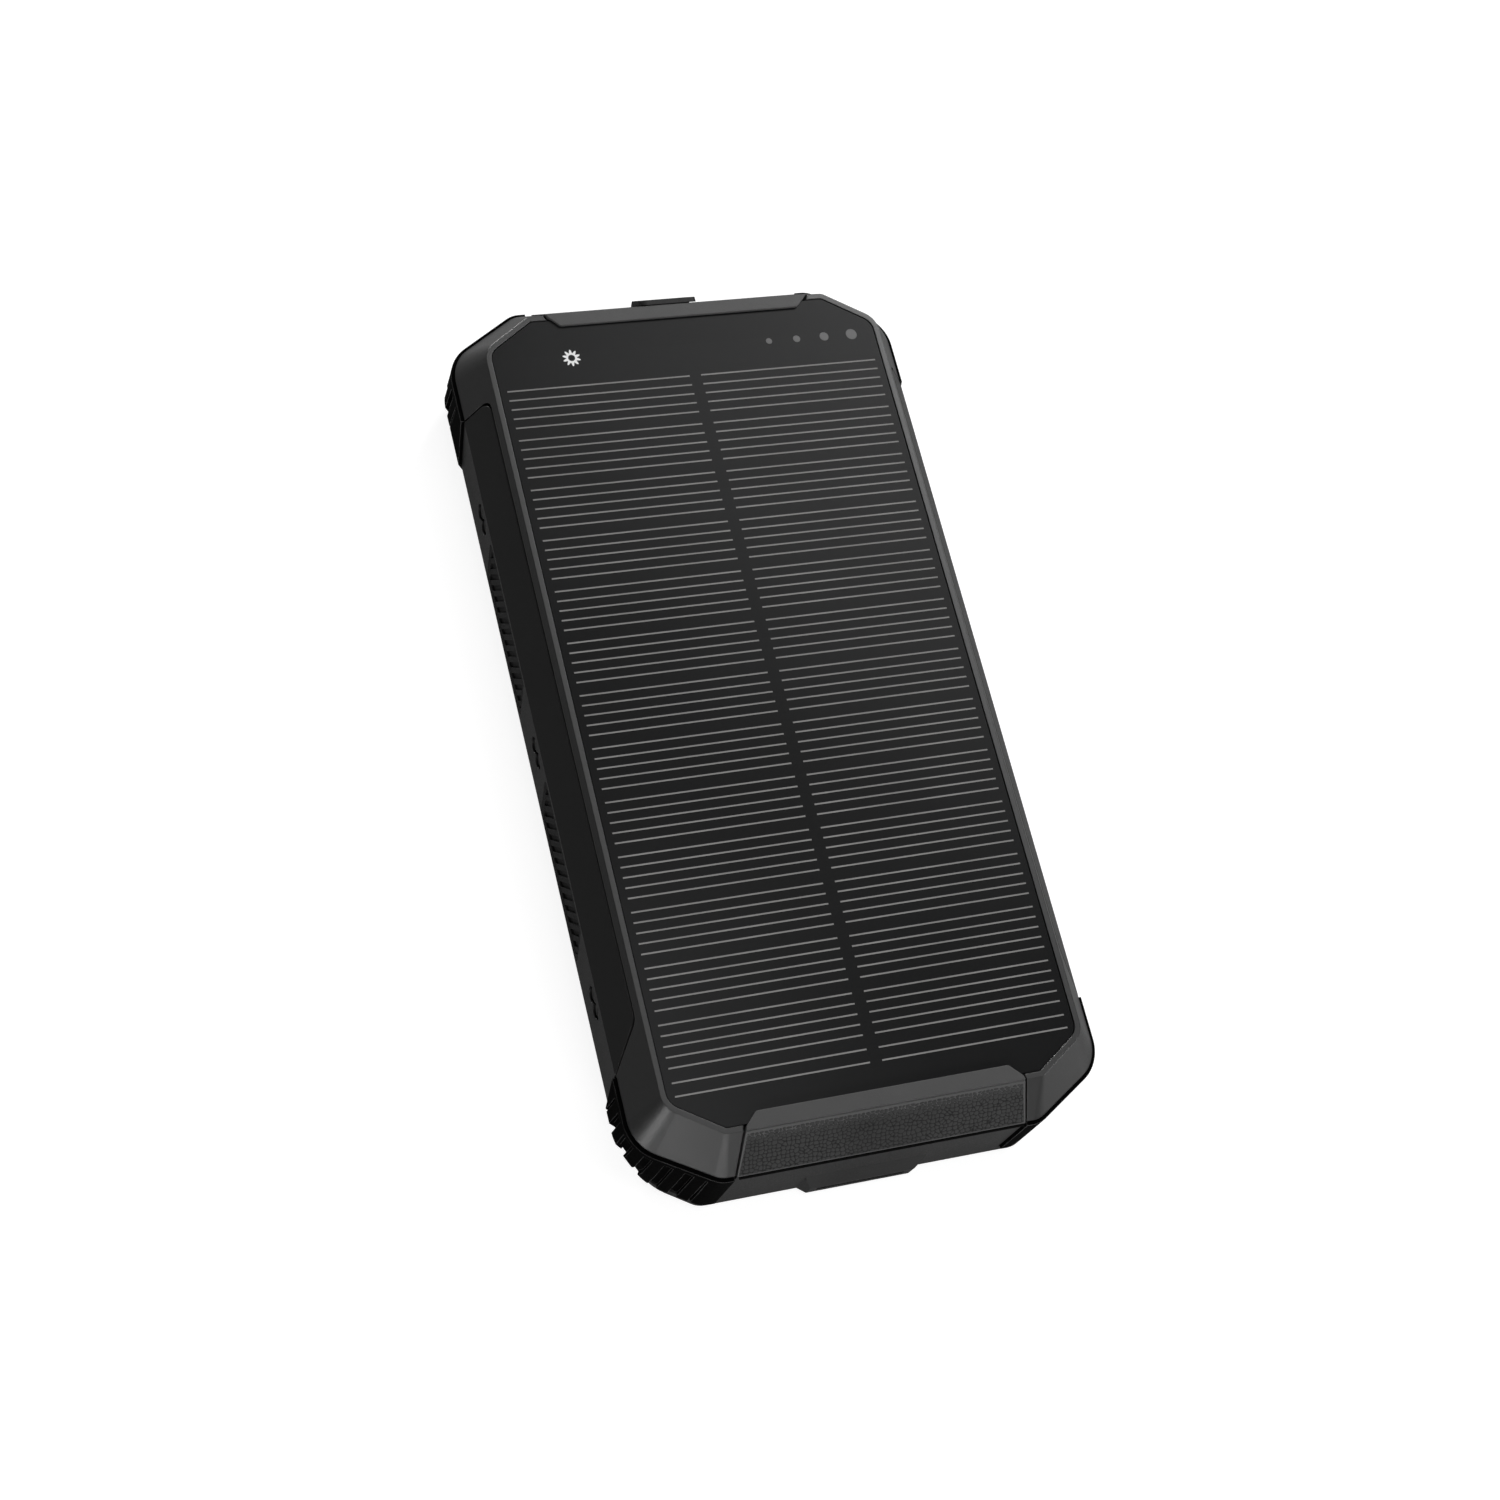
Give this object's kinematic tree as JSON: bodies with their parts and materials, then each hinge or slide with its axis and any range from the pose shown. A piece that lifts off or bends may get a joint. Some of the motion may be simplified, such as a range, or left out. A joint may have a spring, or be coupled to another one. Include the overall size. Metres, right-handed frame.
{
  "type": "solar phone charger",
  "caption": "Rugged solar power bank with a glass-covered panel, corner guards, side rails, and a hinged cover over its USB sockets.",
  "frame": {"origin": "centre of the footprint, on the surface that the rest pads stand on", "axes": "+Z out of the solar panel, +Y towards the end with the sockets and indicator dots, X across the panel"},
  "size_m": [0.0826, 0.1603, 0.0244],
  "materials": {
    "case_plastic": "fine moulded texture",
    "rail_plastic": "smooth satin",
    "cap_plastic": "leather grain on the slope",
    "button_plastic": "satin",
    "cover_rubber": "matt",
    "grip_rubber": "matt, ribbed",
    "guard_rubber": "matt, treaded",
    "seal_rubber": "matt",
    "foam": "closed-cell foam",
    "panel_glass": "tinted laminate",
    "silicon": "cut solar cells under laminate",
    "clear_lens": "frosted",
    "lamp_package": "white lamp package",
    "insulator": "moulded insulator",
    "circuit_board": "solder mask",
    "chip_plastic": "moulded package",
    "ferrite": "ferrite",
    "cell_pouch": "laminated foil",
    "bare_steel": "nickel plated",
    "black_steel": "black oxide"
  },
  "bodies": {
    "case": {"front_frame": "case_plastic", "solar_glass": "panel_glass", "solar_cells": "silicon", "panel_backing": "circuit_board", "indicator_lenses": "clear_lens", "indicator_leds": "lamp_package", "indicator_board": "circuit_board", "near_end_cap": "cap_plastic", "far_end_cap": "cap_plastic", "rear_shell": "case_plastic", "frame_seal": "seal_rubber", "left_rail": "rail_plastic", "right_rail": "rail_plastic", "left_grips": "grip_rubber", "right_grips": "grip_rubber", "left_rail_screws": "black_steel", "right_rail_screws": "black_steel", "corner_guard_near_left": "guard_rubber", "corner_guard_near_right": "guard_rubber", "corner_guard_far_left": "guard_rubber", "corner_guard_far_right": "guard_rubber", "rest_pads": "seal_rubber", "case_screws": "black_steel", "cover_hinge_pin": "bare_steel", "usb_a_shells": "bare_steel", "usb_a_tongues": "insulator", "usb_c_shell": "bare_steel", "usb_c_tongue": "insulator", "usb_c_riser": "insulator", "main_board": "circuit_board", "board_screws": "bare_steel", "board_inductors": "ferrite", "board_chips": "chip_plastic", "battery_cell_lower": "cell_pouch", "battery_cell_upper": "cell_pouch", "cell_foam_pads": "foam", "button_switch": "insulator", "button_board": "circuit_board", "torch_lens": "clear_lens", "torch_leds": "lamp_package", "torch_board": "circuit_board"},
    "cover": {"port_cover": "cover_rubber", "cover_seal": "seal_rubber"},
    "button": {"power_button": "button_plastic"}
  },
  "joints": [
    {"name": "cover_hinge", "type": "hinge", "parent": "case", "child": "cover", "pos_m": [0, 0.0774, 0.0052], "axis": [-1, 0, 0], "range_deg": [0, 100]},
    {"name": "button_press", "type": "slide", "parent": "case", "child": "button", "axis": [-1, 0, 0], "range_m": [0, 0.0005], "stiffness_N_per_m": 2000, "springref_m": -0.0002}
  ]
}
